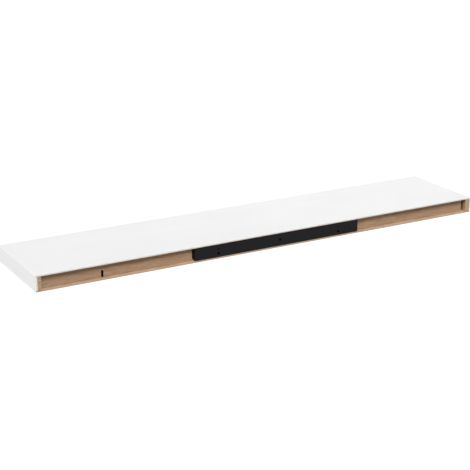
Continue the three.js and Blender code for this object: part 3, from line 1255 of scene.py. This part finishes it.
@dataclass
class Rod:
    """A tube welded to the channel's web, with a domed cap in its tip.

    Attributes:
        side: left or right.
        wall: the tube's wall.
        chamfer: the chamfer on the tube's tip.
        sides: the points of a full turn.
        bead_leg: how far the weld bead reaches on the tube and on the web.
        bead_root: how far its inner corner sinks into the tube.
        bead_bulge: how much its face swells in the middle, as a share of the leg.
        bead_ripples: the ripples of the bead round the tube.
        bead_ripple: how much a ripple changes the leg, as a share of it.
        bead_steps: the steps of the bead's face.
        dome: how high the cap's dome is.
        dome_steps: the steps from its top to its edge.
        cap_gap: how far the cap's edge stays off the tube's tip.
        stem_room: how much thinner the cap's stem is than the bore it sits in.
    """

    side: str
    wall: float = 1.5 * MM
    chamfer: float = 0.3 * MM
    sides: int = 64
    bead_leg: float = 2.6 * MM
    bead_root: float = 0.5 * MM
    bead_bulge: float = 0.1
    bead_ripples: int = 15
    bead_ripple: float = 0.09
    bead_steps: int = 8
    dome: float = 2.8 * MM
    dome_steps: int = 14
    cap_gap: float = 0.1 * MM
    stem_room: float = 0.3 * MM

    def build(self) -> list[bpy.types.Object]:
        """Builds the tube, its weld and its cap."""
        return [self.tube(), self.bead(), self.cap()]

    def line(self) -> tuple[tuple[float, float], float]:
        """The rod's X and Z, and its radius."""
        low, high = box_of(f"{self.side}_rod")
        return ((low + high)[0] / 2, (low + high)[2] / 2), (high - low)[0] / 2

    def spun(self, profile: Array, closed: bool = False) -> Shape:
        """Turns a profile about the rod's line.

        Args:
            profile: rows of radius and Y.
            closed: whether its last point also joins its first.

        Returns:
            The surface.
        """
        centre, _ = self.line()
        rings = turned(profile[:, :1], profile[:, 1:], centre, Axis.Y, self.sides)
        return carried(rings, closed)

    def tube(self) -> bpy.types.Object:
        """Builds the tube: a rectangle turned about the rod's line, its tip chamfered.

        Returns:
            The tube.
        """
        low, high = box_of(f"{self.side}_rod")
        _, radius = self.line()
        bore, tip, root = radius - self.wall, low[1], high[1]
        profile = np.array([(bore, root), (radius, root), (radius, tip + self.chamfer),
                            (radius - self.chamfer, tip), (bore, tip)])
        return powder_coated(f"{self.side}_rod_tube", self.spun(profile, True), f"{self.side}_rod")

    def bead(self) -> bpy.types.Object:
        """Builds the weld bead: a full fillet turned about the rod.

        The fillet's face at an angle t has radius leg (1 - b + b sin 2t) about its inner corner,
        with b the bulge. The leg swells and shrinks with the cosine of the angle round the rod
        times the ripples, and half as much with that of twice the angle.

        Returns:
            The bead, a closed ring whose inner corner lies inside the tube.
        """
        centre, radius = self.line()
        web = box_of("bracket_channel")[1][1] - WallBracket.thickness
        turn = np.linspace(0, 2 * np.pi, self.sides, endpoint=False)[None, :]
        leg = self.bead_leg * (1 + self.bead_ripple * np.cos(self.bead_ripples * turn)
                               + self.bead_ripple / 2 * np.cos(2 * turn + 1))
        face = np.linspace(0, np.pi / 2, self.bead_steps + 1)[:, None]
        reach = leg * (1 - self.bead_bulge + self.bead_bulge * np.sin(2 * face))
        inner = radius - self.bead_root
        radii = np.vstack([inner + reach * np.cos(face), np.full((1, self.sides), inner)])
        places = np.vstack([web - reach * np.sin(face), np.full((1, self.sides), web)])
        rings = turned(radii, places, centre, Axis.Y, self.sides)
        return powder_coated(f"{self.side}_weld_bead", carried(rings, closed=True))

    def cap(self) -> bpy.types.Object:
        """Builds the cap: a dome of radius r sin t and height h cos t, and a stem in the tube.

        Returns:
            The cap.
        """
        low, high = box_of(f"{self.side}_rod_cap")
        _, radius = self.line()
        seat = box_of(f"{self.side}_rod")[0][1] - self.cap_gap
        stem = radius - self.wall - self.stem_room
        turn = np.linspace(0, np.pi / 2, self.dome_steps + 1)
        dome = np.column_stack([radius * np.sin(turn), low[1] + self.dome * (1 - np.cos(turn))])
        foot = np.array([(radius, seat), (stem, seat), (stem, high[1]), (0, high[1])])
        piece = Piece(f"{self.side}_cap", Body.BRACKET, Slot.PLASTIC, [MouldedCap()],
                      stands_for=[f"{self.side}_rod_cap"])
        return piece.made(self.spun(np.vstack([dome, foot])))


# The locks


@dataclass
class Lock:
    """A threaded insert in the board, and the grub screw that runs in it.

    Attributes:
        side: left or right.
        pitch: the thread's pitch.
        thread: the thread's depth.
        rows_per_pitch: the rings for one turn of the thread.
        sides: the points of a full turn, a multiple of six.
        lead: how much of the screw has no full thread, at each end.
        point: the radius of the screw's flat point.
        key: the hexagon socket's width across flats.
        key_depth: its depth.
        key_chamfer: how far the socket's mouth is opened.
        drill_depth: how much deeper the drill went than the socket.
        drill_point: the radius of the flat that it left.
        play: how much wider than the screw the insert's bore is, all round.
        bore_thread: how deep the insert's thread is, as a share of the screw's.
        barb: the depth of the insert's outer ribs.
        barb_pitch: the distance between them.
    """

    side: str
    pitch: float = 1 * MM
    thread: float = 0.5 * MM
    rows_per_pitch: int = 10
    sides: int = 48
    lead: float = 0.6 * MM
    point: float = 2 * MM
    key: float = 3 * MM
    key_depth: float = 4 * MM
    key_chamfer: float = 0.3 * MM
    drill_depth: float = 0.5 * MM
    drill_point: float = 0.3 * MM
    play: float = 0.3 * MM
    bore_thread: float = 0.6
    barb: float = 0.45 * MM
    barb_pitch: float = 1.6 * MM

    def build(self) -> list[bpy.types.Object]:
        """Builds the screw and its insert."""
        return [self.screw(), self.insert()]

    def wave(self, place: Array, pitch: float, twist: bool) -> Array:
        """The depth, 0 to 1, by the cosine of the place in pitches, less the turn in a thread."""
        share = np.linspace(0, 1, self.sides, endpoint=False)[None, :]
        return (1 - np.cos(2 * np.pi * (place[:, None] / pitch - share * twist))) / 2

    def centre(self) -> tuple[Array, Array, Array]:
        """The screw's line, and its lowest and highest corner."""
        low, high = box_of(f"{self.side}_locking_screw")
        return (low + high)[:2] / 2, low, high

    def hexagon(self, width: float) -> Array:
        """The radius at each angle: half the width over the cosine from the nearest flat."""
        turn = np.linspace(0, 2 * np.pi, self.sides, endpoint=False)
        return (width / 2 / np.cos((turn + np.pi / 6) % (np.pi / 3) - np.pi / 6))[None, :]

    def screw(self) -> bpy.types.Object:
        """Builds the grub screw, from its point down the thread and up into the socket.

        Returns:
            The screw.
        """
        centre, low, high = self.centre()
        radius, lead = (high - low)[0] / 2, self.lead
        rows = round((high[2] - low[2] - 2 * lead) / self.pitch * self.rows_per_pitch)
        place = np.linspace(high[2] - lead, low[2] + lead, rows + 1)
        threads = radius - self.thread * self.wave(place, self.pitch, True)
        even = np.ones((1, self.sides))
        top = [even * 0, even * self.point, even * (radius - self.thread)]
        foot = [even * (radius - self.thread), even * (self.key / 2 + 2 * self.key_chamfer),
                self.hexagon(self.key), self.hexagon(self.key), even * self.drill_point, even * 0]
        floor = low[2] + self.key_depth
        drilled = floor + self.drill_depth
        places = np.concatenate([
            [high[2], high[2], high[2] - lead / 2], place,
            [low[2] + lead / 3, low[2], low[2] + self.key_chamfer, floor, drilled, drilled]])
        radii = np.vstack([*top, threads, *foot])
        rings = turned(radii, places[:, None], centre, Axis.Z, self.sides)
        piece = Piece(f"{self.side}_grub_screw", Body(f"{self.side}_lock"), Slot.ZINC,
                      [ZincSteel()], stands_for=[f"{self.side}_locking_screw"])
        return piece.made(carried(rings))

    def insert(self) -> bpy.types.Object:
        """Builds the insert: ribbed outside, threaded inside, joined by its two flat ends.

        Returns:
            The insert.
        """
        centre, screw_low, screw_high = self.centre()
        low, high = box_of(f"{self.side}_threaded_insert")
        outer, inner = (high - low)[0] / 2, (screw_high - screw_low)[0] / 2 + self.play
        rows = round((high[2] - low[2]) / self.pitch * self.rows_per_pitch)
        down = np.linspace(high[2], low[2], rows + 1)
        outside = outer - self.barb * self.wave(down - low[2], self.barb_pitch, False)
        groove = self.thread * self.bore_thread
        inside = inner + groove * self.wave(down[::-1], self.pitch, True)
        places = np.concatenate([down, down[::-1]])[:, None]
        rings = turned(np.vstack([outside, inside]), places, centre, Axis.Z, self.sides)
        piece = Piece(f"{self.side}_insert", Body.BOARD, Slot.BRASS, [TurnedBrass()],
                      stands_for=[f"{self.side}_threaded_insert"])
        return piece.made(carried(rings, closed=True))


# The studio and the camera


@dataclass(frozen=True)
class Softbox:
    """A lamp so far off that it lights everything from one direction.

    Attributes:
        name: its name.
        strength: its irradiance, where pi shows a colour that faces it as it is written.
        source: the direction that it comes from.
        size: how wide it looks, in degrees.
        in_gloss: whether glossy surfaces mirror it.
    """

    name: str
    strength: float
    source: tuple[float, float, float]
    size: float
    in_gloss: bool = True

    def place(self) -> bpy.types.Object:
        """Adds the lamp to the scene.

        Returns:
            The lamp.
        """
        data = bpy.data.lights.new(self.name, "SUN")
        data.energy, data.angle = self.strength, math.radians(self.size)
        lamp = put_in_scene(self.name, data)
        lamp.rotation_euler = Vector(self.source).to_track_quat("Z", "Y").to_euler()
        lamp.location = self.source
        lamp.visible_glossy = self.in_gloss
        return lamp


@dataclass
class Studio:
    """A pale floor, a soft even sky, the lamps and the camera.

    Attributes:
        sky: the strength of the sky on the object, where 1 alone shows a colour as it is written.
        lamps: one high on the wall's side, one off the left end and one off the front's right.
        under: the power of the soft lamp that lights the underside.
        under_size: how wide it is.
        under_depth: how far it lies below the shelf.
        under_place: how far it lies along Y, under the board's middle.
        floor_depth: how far the floor lies below the shelf.
        floor_half: half the floor's width.
        floor_tone: the floor's colour.
        floor_lift: what is added to the floor where it is seen, so that it shows white.
        azimuth: the camera's turn round the object, in degrees.
        elevation: its height above the horizon, in degrees.
        roll: its roll, in degrees.
        distance: how far it stands from the aim.
        aside: how far it and its aim stand to its right.
        above: how far it and its aim stand up.
        lens: its focal length in millimetres.
        sensor: its sensor's width in millimetres.
        sight: the nearest and the farthest that it sees.
    """

    sky: float = 0.265
    lamps: tuple[Softbox, ...] = (
        Softbox("key_lamp", 2.38, (0.16, 0.58, 0.79), 24.0),
        Softbox("side_lamp", 1.48, (0.985, 0.05, 0.16), 10.0),
        Softbox("front_lamp", 2.1, (-0.6, -0.8, 0.03), 30.0, in_gloss=False),
    )
    under: float = 45.0
    under_size: float = 0.9
    under_depth: float = 3.0
    under_place: float = -117.5 * MM
    floor_depth: float = 4.0
    floor_half: float = 60.0
    floor_tone: str = "A0A0A0"
    floor_lift: float = 0.72
    azimuth: float = 150.7122
    elevation: float = 18.3163
    roll: float = -0.1110
    distance: float = 3012.1 * MM
    aside: float = -87.97 * MM
    above: float = 13.92 * MM
    lens: float = 98.178
    sensor: float = 36.0
    sight: tuple[float, float] = (0.01, 500.0)

    def build(self) -> list[bpy.types.Object]:
        """Builds the sky, the floor, the lamps and the camera.

        Returns:
            The objects that stand round the shelf.
        """
        self.make_sky()
        lamps = [lamp.place() for lamp in self.lamps]
        return [self.floor(), *lamps, self.under_lamp(), self.camera()]

    def seen(self, tree: bpy.types.NodeTree) -> bpy.types.NodeSocket:
        """Adds what tells a ray that shows the backdrop from one that lights the object.

        Args:
            tree: the world's or the floor's node tree.

        Returns:
            1 for rays from the camera and in gloss and glass, and 0 for the rest.
        """
        path = add_node(tree, "ShaderNodeLightPath", {})
        total = path.outputs["Is Camera Ray"]
        for ray in ("Is Glossy Ray", "Is Transmission Ray"):
            total = add_node(tree, "ShaderNodeMath", {0: total, 1: path.outputs[ray]},
                             operation="MAXIMUM").outputs[0]
        return total

    def make_sky(self) -> None:
        """Makes the world: white where it is seen, and an even soft light elsewhere."""
        world = bpy.data.worlds.new("studio_sky")
        tree = empty_tree(world)
        white = linear("FFFFFF")
        light = add_node(tree, "ShaderNodeBackground", {"Color": white, "Strength": self.sky})
        backdrop = add_node(tree, "ShaderNodeBackground", {"Color": white, "Strength": 1.0})
        mix = add_node(tree, "ShaderNodeMixShader",
                       {0: self.seen(tree), 1: light.outputs[0], 2: backdrop.outputs[0]})
        add_node(tree, "ShaderNodeOutputWorld", {"Surface": mix.outputs[0]})
        bpy.context.scene.world = world

    def floor(self) -> bpy.types.Object:
        """Builds the floor, which shows white and keeps the object's shadow.

        Returns:
            The floor.
        """
        half = self.floor_half
        outline = np.array([(-half, -half), (half, -half), (half, half), (-half, half)])
        square = filled([outline], -self.floor_depth, Axis.Z)
        mesh = bpy.data.meshes.new("floor")
        mesh.from_pydata(square.points.tolist(), [], square.faces)
        material = bpy.data.materials.new("studio_floor_painted")
        tree = empty_tree(material)
        paint = add_node(tree, "ShaderNodeBsdfDiffuse", {"Color": linear(self.floor_tone)})
        lift = add_node(tree, "ShaderNodeEmission",
                        {"Color": linear("FFFFFF"), "Strength": self.floor_lift})
        lifted = add_node(tree, "ShaderNodeAddShader", {0: paint.outputs[0], 1: lift.outputs[0]})
        mix = add_node(tree, "ShaderNodeMixShader",
                       {0: self.seen(tree), 1: paint.outputs[0], 2: lifted.outputs[0]})
        add_node(tree, "ShaderNodeOutputMaterial", {"Surface": mix.outputs[0]})
        mesh.materials.append(material)
        floor = put_in_scene("floor", mesh)
        return floor

    def under_lamp(self) -> bpy.types.Object:
        """Adds the square lamp between the floor and the shelf, turned up, which no camera sees.

        Returns:
            The lamp.
        """
        data = bpy.data.lights.new("under_lamp", "AREA")
        data.energy, data.size = self.under, self.under_size
        lamp = put_in_scene("under_lamp", data)
        lamp.location = (0, self.under_place, -self.under_depth)
        lamp.rotation_euler = (math.pi, 0, 0)
        lamp.visible_camera = lamp.visible_glossy = False
        return lamp

    def camera(self) -> bpy.types.Object:
        """Places the camera at the photograph's viewing angle.

        Returns:
            The camera, whose own axes are the right and up directions after its roll, and the
            direction back from the aim.
        """
        angles = self.azimuth, self.elevation, self.roll
        turn, rise, roll = (math.radians(angle) for angle in angles)
        level_back = math.cos(rise)
        back = Vector((math.sin(turn) * level_back, -math.cos(turn) * level_back, math.sin(rise)))
        level = (-back).cross(Vector((0, 0, 1))).normalized()
        upright = level.cross(-back)
        right = level * math.cos(roll) + upright * math.sin(roll)
        up = upright * math.cos(roll) - level * math.sin(roll)
        data = bpy.data.cameras.new("photo_camera")
        data.lens, data.sensor_width, data.sensor_fit = self.lens, self.sensor, "HORIZONTAL"
        data.clip_start, data.clip_end = self.sight
        camera = put_in_scene("photo_camera", data)
        place = back * self.distance + right * self.aside + up * self.above
        axes = Matrix((right, up, back)).transposed().to_4x4()
        camera.matrix_world = Matrix.Translation(place) @ axes
        bpy.context.scene.camera = camera
        return camera


def main() -> None:
    """Builds each sub-assembly in order and reports its pieces."""
    logging.basicConfig(level=logging.INFO, format="%(message)s")
    bpy.context.scene.view_settings.view_transform = "Standard"
    locks = [Lock(side) for side in SIDES]
    assemblies = [Studio(), WhiteBoards(), BareFrame(), WallBracket(), *locks]
    for assembly in assemblies:
        for piece in assembly.build():
            LOG.info("%s: %s", type(assembly).__name__, piece.name)


if __name__ == "__main__":
    main()
